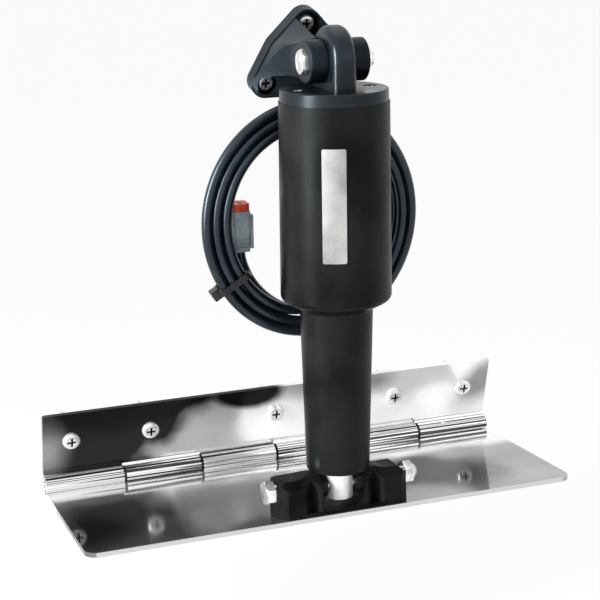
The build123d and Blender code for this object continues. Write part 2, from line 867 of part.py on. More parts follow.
with BuildPart() as upper_bracket:
    for depth, centres, corner_radius in tent_sections:
        with BuildSketch(upper_plane.offset(depth)):
            with Locations(*centres):
                Circle(corner_radius)
            make_hull()
    loft()
    with BuildSketch(upper_plane):
        with Locations(*plinth_circles):
            Circle(upper_lobe_radius)
        make_hull()
    extrude(amount=upper_plate_thickness)
    with BuildSketch(upper_side_plane):
        with BuildLine():
            Polyline(
                (0, upper_low),
                (upper_plate_thickness, upper_low),
                *[(upper_plate_thickness + depth, upper_low + rise) for depth, rise in underside],
                (upper_pivot_standoff, -ear_radius),
                (upper_pivot_standoff, upper_high + upper_side_bulge),
                (0, upper_high + upper_side_bulge),
                close=True,
            )
        make_face()
    extrude(amount=upper_screw_x + 2 * upper_lobe_radius, both=True, mode=Mode.INTERSECT)
    scoop_middle = upper_pivot - off_transom * scoop_setback - along_transom * scoop_drop
    scoop_floor = scoop_middle - Vector(ear_half_width - scoop_step, 0, 0)
    with Locations(Plane(origin=scoop_floor, x_dir=along_transom, z_dir=(-1, 0, 0))):
        Cone(
            scoop_inner_radius,
            scoop_outer_radius,
            scoop_reach,
            align=(Align.CENTER, Align.CENTER, Align.MIN),
            mode=Mode.SUBTRACT,
        )
    middle_plane = Plane(origin=upper_pivot, x_dir=(0, 1, 0), z_dir=(1, 0, 0))
    split(bisect_by=middle_plane, keep=Keep.BOTTOM)
    mirror(about=middle_plane)
    add(ear_block.part)
    with BuildSketch(upper_side_plane):
        with Locations((upper_pivot_standoff, 0)):
            Circle(slot_radius)
        with BuildLine():
            Polyline(
                (upper_pivot_standoff - slot_radius, 0),
                (upper_pivot_standoff - slot_radius, 2 * upper_low),
                (2 * upper_pivot_standoff, 2 * upper_low),
                (2 * upper_pivot_standoff, slot_radius),
                (upper_pivot_standoff, slot_radius),
                (upper_pivot_standoff, 0),
                close=True,
            )
        make_face()
    extrude(amount=slot_half_width, both=True, mode=Mode.SUBTRACT)
    with BuildSketch(cross_plane(upper_pivot)):
        Circle(pin_hole_radius)
    extrude(amount=ear_half_width, both=True, mode=Mode.SUBTRACT)
    for side in (-1, 1):
        pocket_plane = Plane(
            origin=upper_pivot + Vector(side * ear_half_width, 0, 0),
            x_dir=actuator_back,
            z_dir=(side, 0, 0),
        )
        with BuildSketch(pocket_plane):
            RegularPolygon(bolt_flats / 2 + 3 * hole_clearance, 6, major_radius=False, rotation=30)
        extrude(amount=-ear_pocket_depth, mode=Mode.SUBTRACT)
    with BuildSketch(upper_plane.offset(upper_screw_seat)):
        with Locations(upper_spots[0]):
            Circle(upper_top_pocket_radius)
        with Locations(*upper_spots[1:]):
            Circle(upper_pocket_radius)
    extrude(amount=upper_pivot_standoff, mode=Mode.SUBTRACT)
    with BuildSketch(upper_plane.offset(upper_plate_thickness)):
        with Locations((0, upper_screw_top)):
            Rectangle(
                2 * upper_top_pocket_radius, 2 * upper_lobe_radius, align=(Align.CENTER, Align.MIN)
            )
    extrude(amount=upper_pivot_standoff, mode=Mode.SUBTRACT)
    with BuildSketch(upper_plane):
        with Locations(*upper_spots):
            Circle(upper_neck_radius + hole_clearance)
    extrude(amount=upper_screw_seat, mode=Mode.SUBTRACT)
save(upper_bracket, "upper_bracket")

with BuildPart() as upper_bracket_screws:
    for spot in upper_spots:
        add(
            cross_screw(
                upper_plane.offset(upper_screw_seat),
                spot,
                upper_head_radius,
                upper_head_height,
                upper_neck_radius,
                upper_screw_seat,
                upper_screw_radius,
                upper_screw_length,
            )
        )
save(upper_bracket_screws, "upper_bracket_screws")

pocket_floor = ear_half_width - ear_pocket_depth
pivot_bolt("upper_pivot_bolt", upper_pivot, -pocket_floor, pocket_floor)
pivot_nut("upper_pivot_nut", upper_pivot, pocket_floor)

# Bare name plate, bent to the barrel

with BuildPart() as name_plate:
    plate_turn = math.radians(name_plate_angle)
    facing = Vector(-math.sin(plate_turn), 0, 0) - actuator_back * math.cos(plate_turn)
    plate_origin = lower_pivot + actuator_direction * name_plate_station
    plate_across = facing.cross(actuator_direction) * -1
    name_plate_plane = Plane(origin=plate_origin, x_dir=plate_across, z_dir=facing)
    with BuildSketch(name_plate_plane):
        RectangleRounded(name_plate_width, name_plate_length, 1.0)
    extrude(amount=2 * barrel_low_radius)
    with BuildSketch(profile_plane):
        with BuildLine():
            Polyline(
                (barrel_low_radius + hole_clearance / 2, barrel_end),
                (barrel_low_radius + hole_clearance / 2 + name_plate_thickness, barrel_end),
                (barrel_top_radius + hole_clearance / 2 + name_plate_thickness, cap_seat),
                (barrel_top_radius + hole_clearance / 2, cap_seat),
                close=True,
            )
        make_face()
    revolve(axis=actuator_axis, mode=Mode.INTERSECT)
save(name_plate, "name_plate")

# Cable gland on the back of the barrel, with its strain relief

coil_front = barrel_low_radius + barrel_to_coil
coil_band = strands_in_front * cable_diameter
coil_thickness = 2 * cable_diameter
cable_back = coil_front + coil_thickness / 2
with BuildPart() as cable_gland:
    with BuildSketch(station_plane(gland_station, gland_x, cable_back)):
        Circle(gland_width / 2)
        with Locations((0, 0)):
            Rectangle(gland_width, cable_back, align=(Align.CENTER, Align.MAX))
    extrude(amount=gland_length / 2, both=True)
    with BuildSketch(profile_plane):
        with BuildLine():
            Polyline(
                (0, barrel_end),
                (barrel_low_radius + hole_clearance / 2, barrel_end),
                (barrel_top_radius + hole_clearance / 2, cap_seat),
                (0, cap_seat),
                close=True,
            )
        make_face()
    revolve(axis=actuator_axis, mode=Mode.SUBTRACT)
    with BuildSketch(station_plane(gland_station - gland_length / 2, gland_x, cable_back)):
        Circle(relief_root_radius)
    with BuildSketch(
        station_plane(gland_station - gland_length / 2 - relief_length, gland_x, cable_back)
    ):
        Circle(relief_tip_radius)
    loft()
save(cable_gland, "cable_gland")

# Cable: the lead from the gland, the coil, and the tail that goes up to the connector


def cord_point(x, station, back=cable_back):
    """A point of the cable's route behind the barrel."""
    return lower_pivot + actuator_direction * station + actuator_back * back + Vector(x, 0, 0)


relief_tip = gland_station - gland_length / 2 - relief_length
lead_route = [cord_point(gland_x, relief_tip)]
for across, rise in lead_turns:
    lead_route.append(cord_point(gland_x + across, coil_station + rise))


def bend_radii(route):
    """The radius at each corner: 0.45 of the shorter run over the tangent of half the turn."""
    radii = []
    for before, corner, after in zip(route, route[1:], route[2:]):
        shorter = min((corner - before).length, (after - corner).length)
        turn = (corner - before).get_angle(after - corner)
        radii.append(0.45 * shorter / math.tan(math.radians(turn / 2)))
    return radii


lead_radii = bend_radii(lead_route)
print("lead radii", [round(radius, 1) for radius in lead_radii])
with BuildPart() as power_cable:
    with BuildLine() as lead_line:
        FilletPolyline(*lead_route, radius=lead_radii)
    with BuildSketch(station_plane(relief_tip, gland_x, cable_back)):
        Circle(cable_diameter / 2)
    sweep(path=lead_line.line)
save(power_cable, "power_cable")
section = math.pi * (cable_diameter / 2) ** 2
lead_share = power_cable.part.volume / (section * lead_line.wire().length)
print("lead volume over section times length", round(lead_share, 3))

with BuildPart() as cable_coil:
    for layer, strands in enumerate((strands_in_front, strands_behind)):
        outer = (strands_in_front - strands) / 2 * cable_diameter
        inner = outer + strands * cable_diameter
        with BuildSketch(back_plane(coil_x, coil_front + layer * cable_diameter, coil_station)):
            Ellipse(coil_half_width - outer, coil_half_height - outer)
            Ellipse(coil_half_width - inner, coil_half_height - inner, mode=Mode.SUBTRACT)
        extrude(amount=cable_diameter)
    rims = cable_coil.edges().filter_by(
        lambda edge: abs((edge.center() - lower_pivot).dot(actuator_back) - cable_back)
        > cable_diameter / 2
    )
    chamfer(rims, coil_edge_cut)
save(cable_coil, "cable_coil")

# The tail leans out of the coil's back strands and goes up to the connector
connector_back = cable_back + connector_behind
with BuildPart() as cable_tail:
    tail_start = connector_base_station - tail_length
    with BuildSketch(station_plane(tail_start, connector_x - tail_lean, connector_back)):
        Circle(cable_diameter / 2)
    with BuildSketch(station_plane(connector_base_station, connector_x, connector_back)):
        Circle(cable_diameter / 2)
    loft()
save(cable_tail, "cable_tail")

# Cable tie round the coil, with its head on the outer side

tie_turn = math.radians(tie_angle)
coil_mean_width = coil_half_width - coil_band / 2
coil_mean_height = coil_half_height - coil_band / 2
tie_centre = cord_point(
    coil_x + coil_mean_width * math.cos(tie_turn), coil_station + coil_mean_height * math.sin(tie_turn)
)
tie_along = Vector(-coil_mean_width * math.sin(tie_turn), 0, 0) + actuator_direction * (
    coil_mean_height * math.cos(tie_turn)
)
tie_plane = Plane(origin=tie_centre, x_dir=actuator_back, z_dir=tie_along.normalized())
tie_inner_depth = coil_thickness + 2 * tie_slack
tie_inner_width = coil_band + 6 * tie_slack
with BuildPart() as cable_tie:
    with BuildSketch(tie_plane):
        RectangleRounded(
            tie_inner_depth + 2 * tie_strap, tie_inner_width + 2 * tie_strap, tie_corner_radius + tie_strap
        )
        RectangleRounded(tie_inner_depth, tie_inner_width, tie_corner_radius, mode=Mode.SUBTRACT)
    extrude(amount=tie_width / 2, both=True)
    head_side = 1 if (tie_plane.y_dir.X < 0) else -1
    head_offset = head_side * (tie_inner_width + tie_head_height) / 2
    with BuildSketch(tie_plane):
        with Locations((0, head_offset)):
            Rectangle(tie_head_length, tie_head_height)
    extrude(amount=tie_head_width / 2, both=True)
save(cable_tie, "cable_tie")

# Two way connector: grey body, orange wedge and side latch

with BuildPart() as connector_body:
    slim_width = connector_width - 2 * connector_collar
    slim_depth = connector_depth - 2 * connector_collar
    with BuildSketch(station_plane(connector_base_station, connector_x, connector_back)):
        RectangleRounded(slim_width, slim_depth, connector_corner_radius - connector_collar)
    extrude(amount=connector_length)
    collar_station = connector_base_station + connector_length - connector_collar_length
    with BuildSketch(station_plane(collar_station, connector_x, connector_back)):
        RectangleRounded(connector_width, connector_depth, connector_corner_radius)
    extrude(amount=connector_collar_length)
save(connector_body, "connector_body")

wedge_low = connector_base_station + connector_length
with BuildPart() as connector_wedge:
    with BuildSketch(station_plane(wedge_low, connector_x, connector_back)):
        RectangleRounded(slim_width, slim_depth, connector_corner_radius - connector_collar)
    extrude(amount=wedge_length)
    with BuildSketch(station_plane(wedge_low + wedge_length, connector_x, connector_back)):
        with Locations((0, -connector_depth / 5), (0, connector_depth / 5)):
            Circle(wedge_hole_radius)
    extrude(amount=-wedge_length * 0.7, mode=Mode.SUBTRACT)
save(connector_wedge, "connector_wedge")

latch_x = connector_x + connector_width / 2
with BuildPart() as connector_latch:
    with BuildSketch(station_plane(connector_base_station + latch_rise, latch_x, connector_back)):
        Rectangle(latch_thickness, latch_width, align=(Align.MIN, Align.CENTER))
    extrude(amount=latch_length)
save(connector_latch, "connector_latch")
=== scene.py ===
import math
import bmesh
import bpy
from mathutils import Matrix, Vector


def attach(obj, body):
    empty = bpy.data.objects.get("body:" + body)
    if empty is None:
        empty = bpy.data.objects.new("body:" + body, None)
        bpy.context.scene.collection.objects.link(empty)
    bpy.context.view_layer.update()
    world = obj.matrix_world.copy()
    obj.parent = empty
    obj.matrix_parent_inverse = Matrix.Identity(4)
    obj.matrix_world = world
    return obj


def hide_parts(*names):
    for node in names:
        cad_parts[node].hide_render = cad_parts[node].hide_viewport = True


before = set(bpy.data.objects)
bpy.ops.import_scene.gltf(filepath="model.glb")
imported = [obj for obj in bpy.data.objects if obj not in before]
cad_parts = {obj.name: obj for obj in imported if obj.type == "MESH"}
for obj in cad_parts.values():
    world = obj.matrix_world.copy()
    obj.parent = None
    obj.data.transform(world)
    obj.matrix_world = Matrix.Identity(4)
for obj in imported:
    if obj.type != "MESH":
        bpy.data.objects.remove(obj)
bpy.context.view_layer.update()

# Camera
# The photograph's own viewpoint: from the front left and a little above,
# with the hinge line rising to the right.
camera_data = bpy.data.cameras.new("photo_camera")
camera_data.sensor_fit = "HORIZONTAL"
camera_data.sensor_width = 36.0
camera_data.lens = 93.28
camera = bpy.data.objects.new("photo_camera", camera_data)
bpy.context.collection.objects.link(camera)
camera_place = Vector((-0.3087, -0.929145, 0.273986))
yaw = math.radians(-19.55)
pitch = math.radians(11.63)
roll = math.radians(-2.39)
ahead = Vector(
    (-math.sin(yaw) * math.cos(pitch), math.cos(yaw) * math.cos(pitch), -math.sin(pitch))
)
level = Vector((math.cos(yaw), math.sin(yaw), 0))
above = level.cross(ahead)
side = level * math.cos(roll) + above * math.sin(roll)
top = above * math.cos(roll) - level * math.sin(roll)
turn = Matrix((side, top, -ahead)).transposed().to_4x4()
camera.matrix_world = Matrix.Translation(camera_place) @ turn
bpy.context.scene.camera = camera

# Power cable
# One round rubber-jacketed cable from the gland's strain relief down into the coil behind the
# barrel, four times round it, and out of its back up to the connector.
lower_pivot = Vector((0.003, -0.105445, -0.018314))
actuator_up = Vector((0, -0.070816, 0.997489))
actuator_back = Vector((0, 0.997489, 0.070816))


def behind(x, station, back):
    """A point given in millimetres across, along and behind the actuator."""
    return lower_pivot + (actuator_up * station + actuator_back * back + Vector((x, 0, 0))) / 1000


cable_diameter = 6.2
gland_x = 20.2
gland_back = 38.4
plug_x = -42.6
plug_back = 45.6
coil_middle_x = -1.5
coil_middle_station = 152.45
coil_half_width = 63.9
coil_half_height = 67.9
strand_pitch = 6.0
layer_front = 35.4
layer_back = 41.3
per_turn = 24
# the curve runs inside its control points, so they stand a little further out
swell = 1 / math.cos(math.pi / per_turn)


def coil_point(step, strand, back):
    """A point of the coil: step counts from its bottom, up its left side first."""
    angle = 2 * math.pi * step / per_turn
    half_width = (coil_half_width - strand_pitch * strand) * swell
    half_height = (coil_half_height - strand_pitch * strand) * swell
    return (
        coil_middle_x - half_width * math.sin(angle),
        coil_middle_station - half_height * math.cos(angle),
        back,
    )


# strand position (0 is outermost) and depth for each pass: up the left side, three full
# turns from the top to the top, and down the right side
passes = [
    (2.0, layer_front),
    (1.0, layer_front),
    (0.0, layer_front),
    (0.5, layer_back),
    (1.5, layer_back),
]
steps_to_cross = 4
sway = 0.0175
route = [
    (gland_x, 143.4, gland_back),
    (gland_x, 134.0, gland_back),
    (gland_x, 124.0, 38.1),
    (18.6, 113.5, 37.3),
    (13.2, 104.6, 36.4),
    (5.0, 99.0, 35.7),
]
for number, (strand, back) in enumerate(passes):
    before = passes[max(number - 1, 0)]
    begin = 1 if number == 0 else -per_turn // 2
    end = -1 if number == len(passes) - 1 else per_turn // 2
    for step in range(begin, end):
        share = 1.0
        if number > 0:
            share = min(1.0, (step + per_turn / 2 + 1) / steps_to_cross)
            share = share * share * (3 - 2 * share)
        wander = sway * math.sin(step * 0.55 + number * 1.7)
        route.append(
            coil_point(
                step,
                before[0] + (strand - before[0]) * share + wander,
                before[1] + (back - before[1]) * share,
            )
        )
route += [
    (-9.0, 95.6, 42.5),
    (-20.0, 99.6, 43.7),
    (-29.5, 107.0, 45.0),
    (-36.6, 116.0, plug_back),
    (-40.9, 125.4, plug_back),
    (plug_x, 132.5, plug_back),
    (plug_x, 137.4, plug_back),
]
cable_curve = bpy.data.curves.new("power_cable_run", "CURVE")
cable_curve.dimensions = "3D"
# the bevel is 1 m and each point's radius is the cable's own, so the curve's box is its real one
cable_curve.bevel_depth = 1.0
cable_curve.bevel_resolution = 6
cable_curve.resolution_u = 5
cable_curve.use_fill_caps = True
cable_line = cable_curve.splines.new("NURBS")
cable_line.points.add(len(route) - 1)
for point, place in zip(cable_line.points, route):
    point.co = (*behind(*place), 1)
    point.radius = cable_diameter / 2000
cable_line.order_u = 3
cable_line.use_endpoint_u = True
cable = bpy.data.objects.new("power_cable_run", cable_curve)
bpy.context.collection.objects.link(cable)
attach(cable, "actuator")
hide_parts("power_cable", "cable_coil", "cable_tail")

# a copy of the curve without its thickness is made into a mesh, which is removed again
bare = cable_curve.copy()
bare.bevel_depth = 0
probe = bpy.data.objects.new("probe", bare)
bpy.context.collection.objects.link(probe)
line = bpy.data.meshes.new_from_object(probe)
bpy.data.objects.remove(probe)
bpy.data.meshes.remove(line)


def start_group(name, inputs, outputs):
    """An empty shader node group with its named sockets, its input node and its output node."""
    group = bpy.data.node_groups.new(name, "ShaderNodeTree")
    for label, kind, value in inputs:
        socket = group.interface.new_socket(
            name=label, in_out="INPUT", socket_type="NodeSocket" + kind
        )
        if value is not None:
            socket.default_value = value
    for label, kind in outputs:
        group.interface.new_socket(name=label, in_out="OUTPUT", socket_type="NodeSocket" + kind)
    return group, group.nodes.new("NodeGroupInput"), group.nodes.new("NodeGroupOutput")


def feed(tree, socket, value):
    """Link a socket, or set it where the value is plain."""
    if isinstance(value, bpy.types.NodeSocket):
        tree.links.new(value, socket)
    else:
        socket.default_value = value


def add_node(tree, kind, values):
    """A node with its inputs linked or set."""
    node = tree.nodes.new(kind)
    for label, value in values.items():
        feed(tree, node.inputs[label], value)
    return node


def use_group(tree, group, values):
    """One use of a shader group, with its inputs linked or set."""
    node = tree.nodes.new("ShaderNodeGroup")
    node.node_tree = group
    for label, value in values.items():
        feed(tree, node.inputs[label], value)
    return node


def sum_of(tree, operation, first, second=0.0, third=0.0):
    """The result of one Math node."""
    node = tree.nodes.new("ShaderNodeMath")
    node.operation = operation
    for socket, value in zip(node.inputs, (first, second, third)):
        feed(tree, socket, value)
    return node.outputs[0]


def vector_of(tree, operation, first, second=None):
    """One Vector Math node."""
    node = tree.nodes.new("ShaderNodeVectorMath")
    node.operation = operation
    feed(tree, node.inputs[0], first)
    if second is not None:
        feed(tree, node.inputs[1], second)
    return node


def blend_of(tree, share, low, high):
    """The result of one colour Mix node."""
    node = tree.nodes.new("ShaderNodeMix")
    node.data_type = "RGBA"
    feed(tree, node.inputs[0], share)
    feed(tree, node.inputs[6], low)
    feed(tree, node.inputs[7], high)
    return node.outputs[2]


# two tones of one material in soft clouds, with fine and coarse variation
cloud_tones, cloud_in, cloud_out = start_group(
    "cloud_tones",
    [
        ("Vector", "Vector", None),
        ("Dark", "Color", (0.1, 0.1, 0.1, 1)),
        ("Light", "Color", (0.2, 0.2, 0.2, 1)),
        ("Scale", "Float", 40.0),
        ("Contrast", "Float", 0.3),
    ],
    [("Color", "Color"), ("Mask", "Float")],
)
cloud_noise = add_node(
    cloud_tones,
    "ShaderNodeTexNoise",
    {
        "Vector": cloud_in.outputs["Vector"],
        "Scale": cloud_in.outputs["Scale"],
        "Detail": 5.0,
    },
)
half_spread = sum_of(cloud_tones, "MULTIPLY", cloud_in.outputs["Contrast"], 0.5)
cloud_range = add_node(
    cloud_tones,
    "ShaderNodeMapRange",
    {
        "Value": cloud_noise.outputs["Fac"],
        "From Min": sum_of(cloud_tones, "SUBTRACT", 0.5, half_spread),
        "From Max": sum_of(cloud_tones, "ADD", 0.5, half_spread),
    },
)
cloud_range.interpolation_type = "SMOOTHSTEP"
cloud_share = cloud_range.outputs["Result"]
feed(
    cloud_tones,
    cloud_out.inputs["Color"],
    blend_of(cloud_tones, cloud_share, cloud_in.outputs["Dark"], cloud_in.outputs["Light"]),
)
feed(cloud_tones, cloud_out.inputs["Mask"], cloud_share)

# the fine grain of a moulded or drawn surface, as a height, and uneven gloss from handling
moulded_grain, grain_in, grain_out = start_group(
    "moulded_grain",
    [
        ("Vector", "Vector", None),
        ("Grain Scale", "Float", 1400.0),
        ("Gloss Low", "Float", 0.4),
        ("Gloss High", "Float", 0.5),
        ("Wipe Scale", "Float", 30.0),
    ],
    [("Height", "Float"), ("Roughness", "Float")],
)
grain_place = {
    "Vector": grain_in.outputs["Vector"],
    "Scale": grain_in.outputs["Grain Scale"],
}
grain_fine = add_node(moulded_grain, "ShaderNodeTexNoise", {**grain_place, "Detail": 3.0})
grain_cell = add_node(moulded_grain, "ShaderNodeTexVoronoi", grain_place)
grain_height = sum_of(
    moulded_grain,
    "MULTIPLY_ADD",
    grain_cell.outputs["Distance"],
    0.4,
    grain_fine.outputs["Fac"],
)
wipe = add_node(
    moulded_grain,
    "ShaderNodeTexNoise",
    {
        "Vector": grain_in.outputs["Vector"],
        "Scale": grain_in.outputs["Wipe Scale"],
        "Detail": 6.0,
    },
)
wipe_range = add_node(
    moulded_grain,
    "ShaderNodeMapRange",
    {
        "Value": wipe.outputs["Fac"],
        "From Min": 0.35,
        "From Max": 0.65,
        "To Min": grain_in.outputs["Gloss Low"],
        "To Max": grain_in.outputs["Gloss High"],
    },
)
feed(moulded_grain, grain_out.inputs["Height"], grain_height)
feed(moulded_grain, grain_out.inputs["Roughness"], wipe_range.outputs["Result"])


def moulded(
    name,
    dark,
    light,
    gloss,
    scale=30.0,
    contrast=0.3,
    bump=0.2,
    specular=0.5,
    metallic=0.0,
    grain=1400.0,
    tint=(1.0, 1.0, 1.0),
):
    """A finish of two close tones with grain and uneven gloss, in the piece's own coordinates."""
    material = bpy.data.materials.new(name)
    material.use_nodes = True
    tree = material.node_tree
    shader = tree.nodes["Principled BSDF"]
    shader.inputs["Metallic"].default_value = metallic
    shader.inputs["Specular IOR Level"].default_value = specular
    shader.inputs["Specular Tint"].default_value = (*tint, 1)
    place = tree.nodes.new("ShaderNodeTexCoord").outputs["Object"]
    tones = use_group(
        tree,
        cloud_tones,
        {
            "Vector": place,
            "Dark": (*dark, 1),
            "Light": (*light, 1),
            "Scale": scale,
            "Contrast": contrast,
        },
    )
    feed(tree, shader.inputs["Base Color"], tones.outputs["Color"])
    surface = use_group(
        tree,
        moulded_grain,
        {
            "Vector": place,
            "Grain Scale": grain,
            "Gloss Low": gloss[0],
            "Gloss High": gloss[1],
            "Wipe Scale": scale * 0.8,
        },
    )
    feed(tree, shader.inputs["Roughness"], surface.outputs["Roughness"])
    raised = add_node(
        tree,
        "ShaderNodeBump",
        {"Strength": bump, "Distance": 0.0001, "Height": surface.outputs["Height"]},
    )
    feed(tree, shader.inputs["Normal"], raised.outputs["Normal"])
    return material


def dress(material, *names):
    """Give a finish to CAD nodes."""
    for name in names:
        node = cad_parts[name]
        node.data.materials.clear()
        node.data.materials.append(material)


cable_jacket = moulded(
    "cable_rubber",
    (0.0035, 0.005, 0.0075),
    (0.009, 0.013, 0.018),
    (0.24, 0.34),
    scale=55,
    bump=0.08,
    specular=0.55,
    tint=(0.7, 0.86, 1.0),
)
cable_curve.materials.append(cable_jacket)
dress(cable_jacket, "power_cable", "cable_coil", "cable_tail")

# Hinge plates
# Two leaves of polished stainless sheet, each rolled into three knuckles round the hinge pin.
# Reflections of dark and bright parts of the room are painted into the colour, softly on the flats
# and in streaks on the rolls; the polish adds its own real mirroring on top.
hinge_y = 0.002555
hinge_z = -0.029489
knuckle_radius = 0.00595
knuckle_pitch = 0.0508
# painted reflection: a soft patch of another tone laid into the base colour, where dark or bright
# parts of the room would mirror
painted_reflection_patch, patch_in, patch_out = start_group(
    "painted_reflection_patch",
    [
        ("Vector", "Vector", None),
        ("Base", "Color", (0.5, 0.5, 0.5, 1)),
        ("Patch", "Color", (0.9, 0.9, 0.9, 1)),
        ("Centre", "Vector", (0, 0, 0)),
        ("Size", "Vector", (0.05, 1, 0.02)),
        ("Slant", "Float", 0.0),
        ("Softness", "Float", 0.5),
    ],
    [("Color", "Color")],
)
offset = vector_of(
    painted_reflection_patch, "SUBTRACT", patch_in.outputs["Vector"], patch_in.outputs["Centre"]
)
parts = add_node(painted_reflection_patch, "ShaderNodeSeparateXYZ", {0: offset.outputs[0]})
depth_part = sum_of(painted_reflection_patch, "ADD", parts.outputs["Y"], parts.outputs["Z"])
slide = sum_of(painted_reflection_patch, "MULTIPLY", depth_part, patch_in.outputs["Slant"])
joined = add_node(
    painted_reflection_patch,
    "ShaderNodeCombineXYZ",
    {
        "X": sum_of(painted_reflection_patch, "ADD", parts.outputs["X"], slide),
        "Y": parts.outputs["Y"],
        "Z": parts.outputs["Z"],
    },
)
sized = vector_of(painted_reflection_patch, "DIVIDE", joined.outputs[0], patch_in.outputs["Size"])
reach = vector_of(painted_reflection_patch, "LENGTH", sized.outputs[0])
ripple = add_node(
    painted_reflection_patch,
    "ShaderNodeTexNoise",
    {"Vector": patch_in.outputs["Vector"], "Scale": 22.0, "Detail": 3.0},
)
uneven = sum_of(
    painted_reflection_patch,
    "MULTIPLY_ADD",
    sum_of(painted_reflection_patch, "SUBTRACT", ripple.outputs["Fac"], 0.5),
    0.9,
    reach.outputs["Value"],
)
edge = add_node(
    painted_reflection_patch,
    "ShaderNodeMapRange",
    {
        "Value": uneven,
        "From Min": sum_of(painted_reflection_patch, "SUBTRACT", 1.0, patch_in.outputs["Softness"]),
        "From Max": 1.0,
        "To Min": 1.0,
        "To Max": 0.0,
    },
)
edge.interpolation_type = "SMOOTHSTEP"
patch_color = blend_of(
    painted_reflection_patch,
    edge.outputs["Result"],
    patch_in.outputs["Base"],
    patch_in.outputs["Patch"],
)
feed(painted_reflection_patch, patch_out.inputs["Color"], patch_color)

# painted reflection streaks along the rolls, other ones on each knuckle, with a painted shade line
# where two knuckles meet
painted_roll_reflections_and_shade, streak_in, streak_out = start_group(
    "painted_roll_reflections_and_shade",
    [("Vector", "Vector", None)],
    [("Color", "Color"), ("Mask", "Float")],
)
streak_parts = add_node(
    painted_roll_reflections_and_shade, "ShaderNodeSeparateXYZ", {0: streak_in.outputs["Vector"]}
)
streak_x = streak_parts.outputs["X"]
streak_y = sum_of(painted_roll_reflections_and_shade, "SUBTRACT", streak_parts.outputs["Y"], hinge_y)
streak_z = sum_of(painted_roll_reflections_and_shade, "SUBTRACT", streak_parts.outputs["Z"], hinge_z)
streak_angle = sum_of(painted_roll_reflections_and_shade, "ARCTAN2", streak_z, streak_y)
knuckle_place = sum_of(
    painted_roll_reflections_and_shade,
    "DIVIDE",
    sum_of(painted_roll_reflections_and_shade, "ADD", streak_x, knuckle_pitch * 3),
    knuckle_pitch,
)
knuckle_number = sum_of(painted_roll_reflections_and_shade, "FLOOR", knuckle_place)
knuckle_share = sum_of(painted_roll_reflections_and_shade, "FRACT", knuckle_place)
off_middle = sum_of(painted_roll_reflections_and_shade, "SUBTRACT", knuckle_share, 0.5)
from_end = sum_of(
    painted_roll_reflections_and_shade, "SUBTRACT", 0.5, sum_of(painted_roll_reflections_and_shade, "ABSOLUTE", off_middle)
)
line_half_share = 0.0165
outer_end = 0.148
# painted shade: a near black line at each end of a knuckle, where it meets the next one
gap_shade_share = sum_of(
    painted_roll_reflections_and_shade,
    "MULTIPLY",
    sum_of(painted_roll_reflections_and_shade, "LESS_THAN", from_end, line_half_share),
    sum_of(
        painted_roll_reflections_and_shade, "LESS_THAN", sum_of(painted_roll_reflections_and_shade, "ABSOLUTE", streak_x), outer_end
    ),
)
streak_place = add_node(
    painted_roll_reflections_and_shade,
    "ShaderNodeCombineXYZ",
    {
        "X": sum_of(painted_roll_reflections_and_shade, "MULTIPLY", streak_x, 1.8),
        "Y": sum_of(painted_roll_reflections_and_shade, "MULTIPLY", streak_angle, 1.4),
        "Z": sum_of(painted_roll_reflections_and_shade, "MULTIPLY", knuckle_number, 0.61),
    },
)
streak_noise = add_node(
    painted_roll_reflections_and_shade,
    "ShaderNodeTexNoise",
    {"Vector": streak_place.outputs[0], "Scale": 1.0, "Detail": 1.2, "Roughness": 0.5},
)
# painted reflection streaks: a ramp of dark and bright bands round each roll
reflection_ramp = add_node(
    painted_roll_reflections_and_shade, "ShaderNodeValToRGB", {"Fac": streak_noise.outputs["Fac"]}
)
reflection_stops = [
    (0.0, 0.6),
    (0.33, 0.95),
    (0.36, 0.03),
    (0.42, 0.04),
    (0.435, 0.7),
    (0.46, 0.95),
    (0.485, 0.2),
    (0.51, 0.8),
    (0.545, 0.95),
    (0.555, 0.03),
    (0.61, 0.05),
    (0.62, 0.85),
    (1.0, 1.0),
]
for number, (place, tone) in enumerate(reflection_stops):
    if number < 2:
        stop = reflection_ramp.color_ramp.elements[number]
        stop.position = place
    else:
        stop = reflection_ramp.color_ramp.elements.new(place)
    stop.color = (tone, tone, tone * 1.01, 1)
roll_reflection_and_shade_color = blend_of(
    painted_roll_reflections_and_shade, gap_shade_share, reflection_ramp.outputs["Color"], (0.02, 0.02, 0.021, 1)
)
streak_radius = sum_of(
    painted_roll_reflections_and_shade,
    "SQRT",
    sum_of(
        painted_roll_reflections_and_shade,
        "ADD",
        sum_of(painted_roll_reflections_and_shade, "MULTIPLY", streak_y, streak_y),
        sum_of(painted_roll_reflections_and_shade, "MULTIPLY", streak_z, streak_z),
    ),
)
on_roll = sum_of(painted_roll_reflections_and_shade, "LESS_THAN", streak_radius, knuckle_radius + 0.0005)
feed(painted_roll_reflections_and_shade, streak_out.inputs["Color"], roll_reflection_and_shade_color)
feed(painted_roll_reflections_and_shade, streak_out.inputs["Mask"], on_roll)


